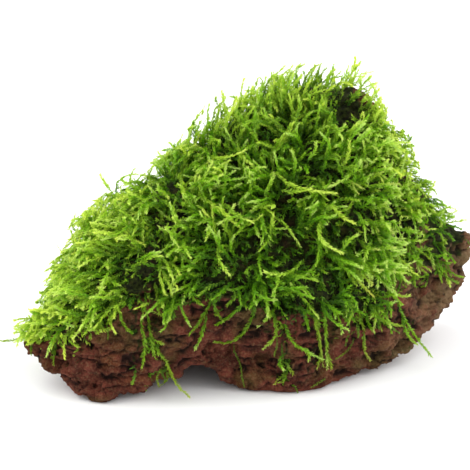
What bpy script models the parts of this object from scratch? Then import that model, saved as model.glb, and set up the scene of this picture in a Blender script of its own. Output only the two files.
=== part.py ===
"""Java moss growing on a piece of red lava rock.

Metres, +Z up. The rock's long side runs along X, and its mossy slope faces -Y. The origin is
in the middle of the whole object's footprint, on the surface that the rock rests on.
"""

import math
import random

import bmesh
import bpy
from mathutils import Matrix, Vector, noise
from mathutils.bvhtree import BVHTree

MM = 0.001

# The rock is lofted through cross-sections from its left tip to its right tip. Each row holds
# x, then (y, z) of four corners: the toe at the bottom of the front face, the brow at the top of
# that face, the crest, and the heel at the bottom of the back. All are in millimetres.
SECTIONS = (
    (-65, (-23, 12), (-22, 15), (-18, 15.5), (-15, 12)),
    (-57, (-29, 5.5), (-27, 18), (-14, 19), (-1, 8)),
    (-49, (-34.5, -1.5), (-31, 24.5), (-6, 32), (12, -1)),
    (-41, (-36.5, -2), (-32, 32), (-1, 43), (19, -1)),
    (-24, (-32, 4), (-31, 41), (7, 56), (27, -1)),
    (-11, (-29, 8.5), (-30, 38), (12, 60), (31, 3)),
    (0, (-27, -1), (-29, 35), (15, 74.5), (34, -1)),
    (21, (-28, -1.5), (-28, 31.5), (18, 84.5), (37, -1)),
    (42, (-20, 0), (-20, 29), (19.5, 85.5), (37, -1)),
    (52, (-10, 2), (-9, 28), (21, 60), (35, 0)),
    (64, (3, 7), (4, 31), (22, 42), (31, 8)),
    (75, (15, 20), (16, 30), (20, 33), (24, 24)),
)
# Between the corners the outline bulges, or is hollow on the sole, by these many millimetres where
# the rock is at least FULL_HEIGHT_MM high, and by less where it is lower.
FACE_BULGE, SLOPE_CROWN, BACK_BULGE, SOLE_HOLLOW = 2.5, 3.0, 5.0, 3.0
FULL_HEIGHT_MM = 40
FACE_SHARE, SLOPE_SHARES, BACK_SHARES, SOLE_SHARE = 0.5, (0.38, 0.74), (0.35, 0.72), 0.5

# How much moss lies on each section, from 0 (bare) to 1 (deep): on the brow, low on the slope,
# high on the slope, on the crest, high on the back and low on the back.
CUSHION_COVER = (
    (0, 0.1, 0.1, 0.1, 0, 0),
    (0.35, 0.6, 0.6, 0.6, 0.4, 0),
    (0.5, 0.9, 0.9, 0.8, 0.7, 0.1),
    (0.5, 1, 1, 0.9, 0.8, 0.2),
    (0.5, 1, 1, 1, 0.8, 0.3),
    (0.55, 1, 1, 1, 0.9, 0.2),
    (0.55, 1, 1, 1, 0.9, 0.1),
    (0.55, 1, 1, 1, 0.8, 0.2),
    (0.5, 0.85, 0.55, 0.1, 0.1, 0),
    (0.2, 0.5, 0.45, 0.35, 0.1, 0),
    (0, 0, 0, 0, 0, 0),
    (0, 0, 0, 0, 0, 0),
)
SHOULDER_COVER = ((0, 0, 0, 0, 0, 0),) * 9 + (
    (0.3, 0.5, 0.5, 0.5, 0, 0),
    (0.4, 0.9, 1, 1, 0.6, 0),
    (0, 0, 0, 0, 0, 0),
)
COVERED_CORNERS = (2, 3, 4, 5, 6, 7)
# Spots that stay bare: middle and radius in millimetres, and how much cover their middles lose.
BARE_SPOTS = (((45, 17, 81), 9), ((-20, 30, 45), 8))
BARE_SPOT_LOSS = 1.2

# Surface of the rock.
LUMP_SIZE, LUMP_HEIGHT = 24 * MM, 3.0 * MM
KNOB_SIZE, KNOB_HEIGHT = 8 * MM, 2.0 * MM
LEDGE_PITCH, LEDGE_DEPTH = 6 * MM, 3.4 * MM
LEDGE_WAVE, LEDGE_WANDER = 1.4, 22 * MM
LEDGE_BREAK, FAINTEST_LEDGE = 11 * MM, 0.3
PIT_COUNT, PIT_SPACING = 120, 6 * MM
PIT_RADIUS, PIT_DEPTH = (2.4 * MM, 5.0 * MM), 0.85
LEAST_BARE = 0.5
# Under the deep moss the rock is plain: from the first of these covers to the second, its ledges and
# pits fade out. They fade out too over the last stretch before its thin left and right tips.
BARE_COVER, BURIED_COVER = 0.45, 0.8
TIP_STRETCH = 14 * MM
ROCK_TRIANGLES = 3600
FORM_EASING, FORM_EASINESS = 3, 0.5

# Moss. Its mat lies just clear of the rock, thin at the edges, with shoots drawn out of it.
MAT_CLEARANCE = 0.9 * MM
CLEARING_PASSES = 4
THIN_MAT = 1.6 * MM
CUSHION_THICK, SHOULDER_THICK = 6 * MM, 2.2 * MM
TUFT_SIZE, TUFT_HEIGHT = 9 * MM, 2.6 * MM
RAGGED_SIZE, RAGGEDNESS = 8 * MM, 0.2
EDGE_COVER, FULL_COVER = 0.32, 0.85
EDGE_EASING = 3

# Shoots grow from faces of the mat that look away from the rock and stand clear of it. They lean
# outwards along the rock, up and a little at random, and bend over or up on the way to the tip.
# They are shorter where the mat is low, and keep clear of the rock and of each other.
TOP_FACING, TOP_CLEARANCE = 0.3, 1.45 * MM
SHOOT_SPACING, SHOOT_GAP = 7.4 * MM, 4 * MM
CUSHION_SHOOTS, SHOULDER_SHOOTS = (5 * MM, 9 * MM), (3 * MM, 5 * MM)
LEAN_OUT, LEAN_UP, LEAN_BY_CHANCE = 0.8 / (75 * MM), 0.5, 0.6
DROOP = (-0.4, 0.9)
SHORTEST, FULL_HEIGHT = 0.25, 10.5 * MM
SHOOT_CLEARANCE = 1.5 * MM
SHOOT_WIDTHS = (3.2 * MM, 2.2 * MM, 0.8 * MM)
SHOOT_STEPS = (0.06, 0.5, 0.44)

# Long shoots that hang over the rock's face or reach past its edge, in millimetres.
TRAILING_SHOOTS = (
    ((-30, -30, 38), (-30, -36, 30), (-28, -36, 20), (-29, -35, 12)),
    ((-26, -30, 40), (-24, -35, 30), (-23, -34, 18), (-19, -35, 7), (-15, -35, 3)),
    ((26, -27, 34), (27, -33, 27), (27, -32, 18), (28, -31, 10)),
    ((8, -27, 36), (10, -34, 27), (8, -33, 20)),
    ((15, -28, 33), (16, -33, 22), (15, -31, 10), (16, -30, 4)),
    ((44, -17, 30), (50, -20, 26), (56, -17, 17), (60, -14, 8)),
    ((-58, -23, 20), (-63, -25, 18), (-68, -27, 16), (-73, -27, 15)),
    ((-44, -31, 30), (-45, -36, 22), (-50, -37, 17)),
)
TRAILING_WIDTH, TRAILING_TAPER = 2 * MM, 0.6

ROCK_RED = (0.16, 0.055, 0.04, 1)
MOSS_GREEN = (0.17, 0.38, 0.02, 1)
SHOULDER_OLIVE = (0.26, 0.31, 0.05, 1)


def clear_scene():
    for obj in list(bpy.data.objects):
        bpy.data.objects.remove(obj, do_unlink=True)


def collection_named(name):
    made = bpy.data.collections.new(name)
    bpy.context.scene.collection.children.link(made)
    return made


def material_of(name, colour, roughness):
    material = bpy.data.materials.new(name)
    material.use_nodes = True
    shader = material.node_tree.nodes["Principled BSDF"]
    shader.inputs["Base Color"].default_value = colour
    shader.inputs["Roughness"].default_value = roughness
    shader.inputs["Metallic"].default_value = 0
    return material


def between(a, b, share, push=(0, 0)):
    """A point part of the way from a to b, pushed aside."""
    return tuple(p + (q - p) * share + aside for p, q, aside in zip(a, b, push))


def ring_of(section):
    """The ten corners of a cross-section, as vectors in metres, from the toe round to the sole."""
    x, toe, brow, crest, heel = section
    size = min(1.0, (crest[1] - toe[1]) / FULL_HEIGHT_MM)
    slope_push = (-SLOPE_CROWN * size, SLOPE_CROWN * size)
    back_push = (BACK_BULGE * size, 0)
    ring = (
        toe,
        between(toe, brow, FACE_SHARE, (-FACE_BULGE * size, 0)),
        brow,
        *(between(brow, crest, share, slope_push) for share in SLOPE_SHARES),
        crest,
        *(between(crest, heel, share, back_push) for share in BACK_SHARES),
        heel,
        between(toe, heel, SOLE_SHARE, (0, SOLE_HOLLOW * size)),
    )
    return [Vector((x, y, z)) * MM for y, z in ring]


def rock_form(name):
    """The rock's broken form, with its cover of moss as vertex groups, subdivided and lumpy."""
    rings = [ring_of(section) for section in SECTIONS]
    corners = len(rings[0])
    mesh = bpy.data.meshes.new(name)
    bm = bmesh.new()
    rows = [[bm.verts.new(point) for point in ring] for ring in rings]
    for left, right in zip(rows, rows[1:]):
        for i in range(corners):
            j = (i + 1) % corners
            bm.faces.new((left[i], left[j], right[j], right[i]))
    bm.faces.new(reversed(rows[0]))
    bm.faces.new(rows[-1])
    bmesh.ops.recalc_face_normals(bm, faces=bm.faces)
    bm.to_mesh(mesh)
    bm.free()
    form = bpy.data.objects.new(name, mesh)
    bpy.context.scene.collection.objects.link(form)
    for cover, table in (("cushion", CUSHION_COVER), ("shoulder", SHOULDER_COVER)):
        group = form.vertex_groups.new(name=cover)
        for row, shares in enumerate(table):
            for corner, share in zip(COVERED_CORNERS, shares):
                group.add([row * corners + corner], share, "REPLACE")
    split = form.modifiers.new("Split", "SUBSURF")
    split.subdivision_type = "SIMPLE"
    split.levels = split.render_levels = 2
    ease = form.modifiers.new("Ease the corners", "SMOOTH")
    ease.iterations = FORM_EASING
    ease.factor = FORM_EASINESS
    apply_modifiers(form)
    move_along_normals(form.data, lambda vertex: lumps(vertex.co))
    return form


def apply_modifiers(obj):
    """Replaces the object's mesh by the mesh that its modifiers make."""
    graph = bpy.context.evaluated_depsgraph_get()
    mesh = bpy.data.meshes.new_from_object(obj.evaluated_get(graph), depsgraph=graph)
    obj.modifiers.clear()
    obj.data = mesh


def move_along_normals(mesh, distance):
    """Moves each vertex along its normal by distance(vertex), all read before any moves."""
    moves = [v.normal * distance(v) for v in mesh.vertices]
    for vertex, move in zip(mesh.vertices, moves):
        vertex.co += move
    mesh.update()


def lumps(p):
    """The broken, rounded shape of cooled lava, as a height."""
    return LUMP_HEIGHT * noise.noise(p / LUMP_SIZE) + KNOB_HEIGHT * noise.noise(p / KNOB_SIZE)


def ledges(p, n):
    """Grooves between the near-level layers that show on the steep faces, as a height."""
    layer = p.z / LEDGE_PITCH + LEDGE_WAVE * noise.noise(p / LEDGE_WANDER)
    groove = math.sin(math.pi * (layer - math.floor(layer))) ** 0.5
    strength = max(FAINTEST_LEDGE, min(1.0, 0.5 + noise.noise(p / LEDGE_BREAK)))
    return LEDGE_DEPTH * strength * (groove - 1) * (1 - abs(n.z))


def weight_in(vertex, group):
    """The vertex's weight in a vertex group."""
    return sum(g.weight for g in vertex.groups if g.group == group)


def bareness(vertex, group):
    """1 where the rock shows or has little moss, down to 0 where deep moss of this group hides it."""
    share = (BURIED_COVER - weight_in(vertex, group)) / (BURIED_COVER - BARE_COVER)
    return max(0.0, min(1.0, share))


def stoutness(place):
    """1 along the body of the rock, down to 0 at its left and right tips."""
    from_tip = min(place.x - SECTIONS[0][0] * MM, SECTIONS[-1][0] * MM - place.x)
    return max(0.0, min(1.0, from_tip / TIP_STRETCH))


def pits_of(mesh, group):
    """Burst gas bubbles, scattered where the rock shows: (middle, radius) of each."""
    dice = random.Random(7)
    places = [v.co.copy() for v in mesh.vertices if bareness(v, group) > LEAST_BARE]
    dice.shuffle(places)
    pits = []
    for place in places:
        if all((place - middle).length > PIT_SPACING for middle, radius in pits):
            pits.append((place, dice.uniform(*PIT_RADIUS)))
        if len(pits) == PIT_COUNT:
            break
    return pits


def pit_depth(p, pits):
    """How deep the pits go at p."""
    deepest = 0
    for middle, radius in pits:
        share = (p - middle).length / radius
        if share < 1:
            deepest = max(deepest, radius * PIT_DEPTH * (1 - share**2))
    return deepest


def lava_rock():
    """One broken piece of red, bubbly lava, cut flat where it rests."""
    rock = rock_form("lava_rock")
    split = rock.modifiers.new("Split", "SUBSURF")
    split.subdivision_type = "SIMPLE"
    split.levels = split.render_levels = 1
    apply_modifiers(rock)
    cover = rock.vertex_groups["cushion"].index
    pits = pits_of(rock.data, cover)

    def relief(vertex):
        depth = ledges(vertex.co, vertex.normal) - pit_depth(vertex.co, pits)
        return depth * bareness(vertex, cover) * stoutness(vertex.co)

    move_along_normals(rock.data, relief)
    thin_out(rock, ROCK_TRIANGLES)
    rest_flat(rock)
    return rock


def thin_out(obj, triangles):
    """Leaves about so many triangles, small where the surface bends and large where it is plain."""
    bm = bmesh.new()
    bm.from_mesh(obj.data)
    bmesh.ops.triangulate(bm, faces=bm.faces)
    bm.to_mesh(obj.data)
    bm.free()
    thin = obj.modifiers.new("Fewer faces", "DECIMATE")
    thin.ratio = min(1.0, triangles / len(obj.data.polygons))
    apply_modifiers(obj)


def rest_flat(obj):
    """Cuts off what would reach below the resting surface, and closes the cuts."""
    bm = bmesh.new()
    bm.from_mesh(obj.data)
    cut = bmesh.ops.bisect_plane(
        bm,
        geom=bm.verts[:] + bm.edges[:] + bm.faces[:],
        dist=1e-6,
        plane_co=(0, 0, 0),
        plane_no=(0, 0, 1),
        clear_inner=True,
    )
    rim = [e for e in cut["geom_cut"] if isinstance(e, bmesh.types.BMEdge)]
    bmesh.ops.triangle_fill(bm, edges=rim, use_beauty=True)
    bmesh.ops.triangulate(bm, faces=bm.faces)
    bmesh.ops.recalc_face_normals(bm, faces=bm.faces)
    bm.to_mesh(obj.data)
    bm.free()


def cover_at(place, share):
    """How much moss there is where the sections ask for share: ragged at the edge, with gaps."""
    for middle, radius in BARE_SPOTS:
        near = 1 - (place - Vector(middle) * MM).length / (radius * MM)
        share -= max(0.0, near) * BARE_SPOT_LOSS
    return share + RAGGEDNESS * noise.noise(place / RAGGED_SIZE)


def mat_thickness(place, share, thickness):
    """How thick the mat is where the moss covers so much."""
    full = max(0.0, min(1.0, (share - EDGE_COVER) / (FULL_COVER - EDGE_COVER)))
    tufts = TUFT_HEIGHT * noise.noise(place / TUFT_SIZE)
    return THIN_MAT + (thickness - THIN_MAT + tufts) * full


def moss_mat(name, cover, thickness, bed, taken):
    """The covered part of the rock's form, lifted clear of it and thickened.

    It stays one face away from the corners that other mats have taken, and adds its own.
    """
    mat = rock_form(name)
    group = mat.vertex_groups[cover].index
    shares = [cover_at(vertex.co, weight_in(vertex, group)) for vertex in mat.data.vertices]
    thickest = thickness + TUFT_HEIGHT
    rise = mat.vertex_groups.new(name="thickness")
    for vertex, share in zip(mat.data.vertices, shares):
        height = mat_thickness(vertex.co, share, thickness)
        rise.add([vertex.index], height / thickest, "REPLACE")
    move_along_normals(mat.data, lambda vertex: MAT_CLEARANCE)
    bm = bmesh.new()
    bm.from_mesh(mat.data)
    corners = bm.verts[:]
    bare = [
        f for f in bm.faces
        if sum(shares[v.index] for v in f.verts) / 4 < EDGE_COVER
        or any(v.index in taken for v in f.verts)
    ]
    bmesh.ops.delete(bm, geom=bare, context="FACES")
    part_where_corners_touch(bm)
    keep_largest_piece(bm)
    taken.update(i for i, corner in enumerate(corners) if corner.is_valid)
    bmesh.ops.triangulate(bm, faces=bm.faces)
    ease_edge(bm)
    lay_clear(bm, bed)
    bm.to_mesh(mat.data)
    bm.free()
    thicken = mat.modifiers.new("Thickness of the moss", "SOLIDIFY")
    thicken.thickness = thickest
    thicken.offset = 1
    thicken.vertex_group = rise.name
    apply_modifiers(mat)
    return mat


def part_where_corners_touch(bm):
    """Drops faces until no two parts of the mat's edge meet in a single corner."""
    while True:
        pinched = [v for v in bm.verts if sum(e.is_boundary for e in v.link_edges) > 2]
        if not pinched:
            return
        bmesh.ops.delete(bm, geom=[pinched[0].link_faces[0]], context="FACES")


def ease_edge(bm):
    """Rounds the steps out of the mat's edge."""
    rim = [v for v in bm.verts if v.is_boundary]
    for _ in range(EDGE_EASING):
        moved = {}
        for vertex in rim:
            beside = [e.other_vert(vertex).co for e in vertex.link_edges if e.is_boundary]
            moved[vertex] = (vertex.co * 2 + beside[0] + beside[1]) / 4
        for vertex, place in moved.items():
            vertex.co = place


def lay_clear(bm, bed):
    """Pushes the mat out where a corner or the middle of an edge or face is too near the rock."""
    for _ in range(CLEARING_PASSES):
        for vertex in bm.verts:
            vertex.co = clear_of(bed, vertex.co, MAT_CLEARANCE)
        for shape in bm.edges[:] + bm.faces[:]:
            middle = sum((v.co for v in shape.verts), Vector()) / len(shape.verts)
            push = clear_of(bed, middle, MAT_CLEARANCE) - middle
            for vertex in shape.verts:
                vertex.co += push


def clear_of(bed, place, clearance):
    """The place, moved straight out of the bed where it is nearer than the clearance."""
    nearest, outward, index, distance = bed.find_nearest(place)
    if distance > 3 * clearance:
        return place
    if (place - nearest).dot(outward) < 0.2 * distance:
        return nearest + outward * clearance
    return nearest + (place - nearest).normalized() * max(distance, clearance)


def keep_largest_piece(bm):
    left = set(bm.faces)
    pieces = []
    while left:
        rim = [left.pop()]
        piece = set(rim)
        while rim:
            for edge in rim.pop().edges:
                for face in edge.link_faces:
                    if face in left:
                        left.remove(face)
                        piece.add(face)
                        rim.append(face)
        pieces.append(piece)
    pieces.sort(key=len)
    crumbs = [face for piece in pieces[:-1] for face in piece]
    bmesh.ops.delete(bm, geom=crumbs, context="FACES")


def grow_shoot(bm, face, points, widths):
    """Draws a face out along the points into a tapering shoot that is one with the mat."""
    for point, width in zip(points, widths):
        face = bmesh.ops.extrude_discrete_faces(bm, faces=[face])["faces"][0]
        face.normal_update()
        middle = face.calc_center_median()
        turn = face.normal.rotation_difference(point - middle)
        size = width / 2 / max((v.co - middle).length for v in face.verts)
        for vertex in face.verts:
            vertex.co = point + turn @ (vertex.co - middle) * size


def bent_path(root, direction, length, droop):
    """Points up a shoot that bends over, or up, on its way to the tip."""
    points = []
    heading = direction.normalized()
    for step in SHOOT_STEPS:
        root = root + heading * (length * step)
        points.append(root)
        heading = (heading + Vector((0, 0, -droop / 2))).normalized()
    return points


def put_on_shoots(mat, bed, lengths, seed, trailing, occupied):
    """Grows the trailing shoots, then short ones from faces spread over the top of the mat.

    Places that shoots pass through are kept in occupied, so that no two shoots cross.
    """
    dice = random.Random(seed)
    bm = bmesh.new()
    bm.from_mesh(mat.data)
    bmesh.ops.triangulate(bm, faces=bm.faces)
    bm.normal_update()
    tops = []
    for face in bm.faces:
        middle = face.calc_center_median()
        nearest, outward, index, distance = bed.find_nearest(middle)
        if face.normal.dot(outward) > TOP_FACING and distance > TOP_CLEARANCE:
            tops.append((face, middle, distance))
    for path in trailing:
        points = [clear_of(bed, Vector(point) * MM, TRAILING_WIDTH) for point in path]
        face, root, height = min(tops, key=lambda top: (top[1] - points[0]).length)
        tops.remove((face, root, height))
        occupied += [root, *points]
        last = len(points) - 1
        widths = [TRAILING_WIDTH * (1 - TRAILING_TAPER * i / last) for i in range(len(points))]
        grow_shoot(bm, face, points, widths)
    dice.shuffle(tops)
    for face, root, height in tops:
        wild = Vector([dice.uniform(-1, 1) for _ in range(3)])
        lean = Vector((root.x * LEAN_OUT, 0, LEAN_UP)) + wild * LEAN_BY_CHANCE
        length = dice.uniform(*lengths) * min(1.0, SHORTEST + (1 - SHORTEST) * height / FULL_HEIGHT)
        points = bent_path(root, face.normal + lean, length, dice.uniform(*DROOP))
        line = [root, *points]
        if any(bed.find_nearest(point)[3] < SHOOT_CLEARANCE for point in points):
            continue
        if any((root - b).length < SHOOT_SPACING for b in occupied):
            continue
        if any((a - b).length < SHOOT_GAP for a in line for b in occupied):
            continue
        occupied += line
        grow_shoot(bm, face, points, SHOOT_WIDTHS)
    bmesh.ops.triangulate(bm, faces=bm.faces)
    bm.to_mesh(mat.data)
    bm.free()


def surface_of(obj):
    mesh = obj.data
    return BVHTree.FromPolygons([v.co for v in mesh.vertices], [p.vertices for p in mesh.polygons])


def centre_footprint(objects):
    """Puts the origin in the middle of the footprint that the objects share."""
    places = [v.co for obj in objects for v in obj.data.vertices]
    middle = Vector((0, 0, 0))
    for axis in (0, 1):
        reach = [place[axis] for place in places]
        middle[axis] = (min(reach) + max(reach)) / 2
    for obj in objects:
        obj.data.transform(Matrix.Translation(-middle))
        obj.data.update()


def main():
    clear_scene()
    object_parts = collection_named("java_moss_on_lava_rock")
    rock = lava_rock()
    bed = surface_of(rock)
    taken, occupied = set(), []
    cushion = moss_mat("moss_cushion", "cushion", CUSHION_THICK, bed, taken)
    put_on_shoots(cushion, bed, CUSHION_SHOOTS, 3, TRAILING_SHOOTS, occupied)
    shoulder = moss_mat("shoulder_moss", "shoulder", SHOULDER_THICK, bed, taken)
    put_on_shoots(shoulder, bed, SHOULDER_SHOOTS, 5, (), occupied)
    centre_footprint((rock, cushion, shoulder))
    finishes = (
        (rock, ROCK_RED, 0.9),
        (cushion, MOSS_GREEN, 0.6),
        (shoulder, SHOULDER_OLIVE, 0.65),
    )
    for obj, colour, roughness in finishes:
        obj.data.materials.clear()
        obj.data.materials.append(material_of(obj.name, colour, roughness))
        bpy.context.scene.collection.objects.unlink(obj)
        object_parts.objects.link(obj)
        print(obj.name, len(obj.data.polygons), "faces")


main()
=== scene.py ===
import math

import bpy
import numpy as np
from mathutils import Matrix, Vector, noise
from mathutils.bvhtree import BVHTree


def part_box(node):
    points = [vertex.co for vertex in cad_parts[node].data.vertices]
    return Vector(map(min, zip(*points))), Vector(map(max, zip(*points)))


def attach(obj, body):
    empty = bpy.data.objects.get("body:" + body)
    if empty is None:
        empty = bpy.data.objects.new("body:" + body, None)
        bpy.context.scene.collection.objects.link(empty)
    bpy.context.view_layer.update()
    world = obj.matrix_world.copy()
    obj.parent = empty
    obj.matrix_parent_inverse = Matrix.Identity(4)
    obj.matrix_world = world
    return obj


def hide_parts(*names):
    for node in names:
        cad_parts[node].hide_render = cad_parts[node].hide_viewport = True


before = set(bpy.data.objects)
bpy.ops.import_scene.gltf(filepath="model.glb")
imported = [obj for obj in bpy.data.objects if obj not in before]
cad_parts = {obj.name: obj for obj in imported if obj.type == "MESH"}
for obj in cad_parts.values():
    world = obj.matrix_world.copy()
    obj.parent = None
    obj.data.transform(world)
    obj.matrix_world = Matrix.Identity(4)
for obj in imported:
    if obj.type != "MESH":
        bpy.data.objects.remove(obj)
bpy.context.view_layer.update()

# The lava rock is one broken lump of red scoria, the froth of a lava flow. Its gas bubbles burst
# as it cooled and left it full of pits, and its layers stand out as ledges on the steep faces.
# Where the moss grows on it, the stone is painted dark, partly peat and old stems and partly painted shade
# from the moss above.
MM = 0.001
NOISE_SEED = 3
ROCK_GRAIN = 0.68 * MM
FACET_ROUNDING = 9
LUMP = {"size": 9.0, "height": 1.3}
LEDGE = {"length": 9.0, "pitch": 2.4, "height": 1.0}
CRACK = {"length": 7.0, "pitch": 1.9, "depth": 1.7, "width": 0.09}
CRUMB = {"size": 1.9, "height": 0.65}
# Burst bubbles by size, in millimetres: the cell each may sit in, its radius, its depth and the
# share of the cells that hold one.
BUBBLES = ((5.2, 1.7, 1.7, 0.4), (2.6, 1.0, 1.3, 0.6), (1.7, 0.7, 0.9, 0.7))
BUBBLE_RAGGEDNESS = 0.7
RED, PALE_RED, ORANGE = (0.062, 0.0145, 0.007), (0.17, 0.043, 0.025), (0.12, 0.037, 0.010)
CREVICE_SHADE, PEAT_SHADE, OLD_STEMS = (0.006, 0.002, 0.001), (0.004, 0.007, 0.001), (0.026, 0.038, 0.004)
ALGAE, TAN = (0.060, 0.062, 0.014), (0.19, 0.13, 0.065)
noise.seed_set(NOISE_SEED)


class Wire:
    """A socket of a finish, with arithmetic that adds Math nodes."""

    def __init__(self, finish, socket):
        self.finish = finish
        self.socket = socket

    def maths(self, operation, *values):
        return self.finish.node("ShaderNodeMath", {"operation": operation}, dict(enumerate(values)))

    def __add__(self, other):
        return self.maths("ADD", self, other)

    __radd__ = __add__

    def __sub__(self, other):
        return self.maths("SUBTRACT", self, other)

    def __rsub__(self, other):
        return self.maths("SUBTRACT", other, self)

    def __mul__(self, other):
        return self.maths("MULTIPLY", self, other)

    __rmul__ = __mul__

    def from_to(self, low, high, out_low=0.0, out_high=1.0):
        """This value as a share of the way from low to high, kept within the ends."""
        sockets = {"Value": self, "From Min": low, "From Max": high, "To Min": out_low, "To Max": out_high}
        return self.finish.node("ShaderNodeMapRange", {"clamp": True}, sockets)


class Finish:
    """A material, made node by node."""

    def __init__(self, name, roughness):
        self.material = bpy.data.materials.new(name)
        self.material.use_nodes = True
        self.tree = self.material.node_tree
        self.shader = self.tree.nodes["Principled BSDF"]
        self.shader.inputs["Roughness"].default_value = roughness

    def node(self, kind, settings=None, sockets=None, output=0):
        made = self.tree.nodes.new(kind)
        for name, value in (settings or {}).items():
            if name == "stops":
                self.set_stops(made.color_ramp, value)
            else:
                setattr(made, name, value)
        for name, value in (sockets or {}).items():
            self.feed(made.inputs[name], value)
        return Wire(self, made.outputs[output])

    def set_stops(self, ramp, stops):
        while len(ramp.elements) < len(stops):
            ramp.elements.new(1.0)
        for element, (place, colour) in zip(ramp.elements, stops):
            element.position = place
            element.color = (*colour, 1)

    def feed(self, socket, value):
        if isinstance(value, Wire):
            self.tree.links.new(value.socket, socket)
        elif socket.type == "RGBA" and len(value) == 3:
            socket.default_value = (*value, 1)
        else:
            socket.default_value = value

    def mix(self, share, first, second, blend="MIX"):
        settings = {"data_type": "RGBA", "blend_type": blend}
        made = self.tree.nodes.new("ShaderNodeMix")
        for name, value in settings.items():
            setattr(made, name, value)
        self.feed(made.inputs[0], share)
        self.feed(made.inputs[6], first)
        self.feed(made.inputs[7], second)
        return Wire(self, made.outputs[2])

    def noise(self, size, detail=3.0, stretch=(1, 1, 1)):
        """Noise from 0 to 1 with patches of about this size in metres, longer where stretched."""
        place = self.node("ShaderNodeTexCoord", output="Object")
        scaled = self.node(
            "ShaderNodeMapping", {}, {"Vector": place, "Scale": tuple(1 / s for s in stretch)}
        )
        sockets = {"Vector": scaled, "Scale": 1 / size, "Detail": detail}
        return self.node("ShaderNodeTexNoise", {}, sockets)

    def attribute(self, name):
        return self.node("ShaderNodeAttribute", {"attribute_name": name}, output="Fac")


def worked_copy(node, name):
    """A new object with a CAD node's shape, its loose triangles joined, selected and active."""
    bpy.ops.object.select_all(action="DESELECT")
    piece = bpy.data.objects.new(name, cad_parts[node].data.copy())
    bpy.context.scene.collection.objects.link(piece)
    piece.data.materials.clear()
    bpy.context.view_layer.objects.active = piece
    piece.select_set(True)
    bpy.ops.object.mode_set(mode="EDIT")
    bpy.ops.mesh.select_all(action="SELECT")
    bpy.ops.mesh.remove_doubles(threshold=1e-6)
    bpy.ops.object.mode_set(mode="OBJECT")
    return piece


def apply_modifier(piece, kind, **settings):
    modifier = piece.modifiers.new(kind.title(), kind)
    for name, value in settings.items():
        setattr(modifier, name, value)
    bpy.ops.object.modifier_apply(modifier=modifier.name)


def places_of(mesh):
    found = np.empty(len(mesh.vertices) * 3, np.float32)
    mesh.vertices.foreach_get("co", found)
    return found.reshape(-1, 3).astype(float)


def surface_of(mesh):
    return BVHTree.FromPolygons([v.co for v in mesh.vertices], [p.vertices for p in mesh.polygons])


def bubble_depth(place, cell, radius, depth, share):
    """How deep a burst bubble goes at a place, for bubbles of one size."""
    ragged = place + noise.noise_vector(place / (radius * 1.2)) * radius * BUBBLE_RAGGEDNESS
    distances, middles = noise.voronoi(ragged / cell)
    if noise.noise(middles[0] * 3.7) > share - 0.5:
        return 0.0
    reach = distances[0] * cell / radius
    return depth * (1 - reach * reach) if reach < 1 else 0.0


def layered(place, length, pitch, seed):
    """Noise that runs on along the rock's level layers, from about -1 to 1."""
    wave = 1.3 * noise.noise(place / (2.5 * length))
    return 1.6 * noise.noise(Vector((place.x / length, place.y / length + seed, place.z / pitch + wave)))


def lava_surface(place, outward):
    """(height, hollow) in millimetres at a place on the rock, whose units are millimetres too."""
    steep = 1 - abs(outward.z)
    lump = LUMP["height"] * noise.fractal(place / LUMP["size"], 0.8, 2.0, 3)
    step = layered(place, LEDGE["length"], LEDGE["pitch"], 0)
    ledge = LEDGE["height"] * math.tanh(2.0 * step) * (0.3 + 0.7 * steep)
    gap = abs(layered(place, CRACK["length"], CRACK["pitch"], 50)) / CRACK["width"]
    crack = CRACK["depth"] * max(0.0, 1 - gap / 3) * (0.25 + 0.75 * steep)
    crumb = CRUMB["height"] * noise.fractal(place / CRUMB["size"], 0.9, 2.0, 2)
    hollow = max(crack, *(bubble_depth(place, *bubble) for bubble in BUBBLES))
    # The hollow is how far a place lies below the bumps around it; the finish paints shade by it.
    return lump + ledge + crumb - hollow, hollow - 0.8 * ledge - 0.6 * crumb


rock = worked_copy("lava_rock", "porous_lava_rock")
apply_modifier(rock, "REMESH", mode="VOXEL", voxel_size=ROCK_GRAIN)
apply_modifier(rock, "SMOOTH", iterations=FACET_ROUNDING, factor=0.5)
hollows = []
moves = []
for vertex in rock.data.vertices:
    height, hollow = lava_surface(vertex.co / MM, vertex.normal)
    seated = min(1.0, max(0.0, vertex.co.z / (1.5 * MM)))
    moves.append(vertex.normal * height * MM * seated)
    hollows.append(hollow * seated)
for vertex, move in zip(rock.data.vertices, moves):
    vertex.co += move
    vertex.co.z = max(0.0, vertex.co.z)
rock.data.update()
rock_bed = surface_of(rock.data)
moss_mats = [surface_of(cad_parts[name].data) for name in ("moss_cushion", "shoulder_moss")]


def moss_over(place, outward, reach=12 * MM):
    """Whether a mat of moss lies over a place on the rock."""
    start = place + outward * 0.1 * MM
    return any(mat.ray_cast(start, outward, reach)[0] is not None for mat in moss_mats)


hollow_map = rock.data.attributes.new("hollow", "FLOAT", "POINT")
hollow_map.data.foreach_set("value", hollows)
# Where moss lies over the stone: the mask for its peat and painted shade.
peat_and_shade_map = rock.data.attributes.new("under_moss", "FLOAT", "POINT")
peat_and_shade_map.data.foreach_set("value", [float(moss_over(v.co, v.normal)) for v in rock.data.vertices])


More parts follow.
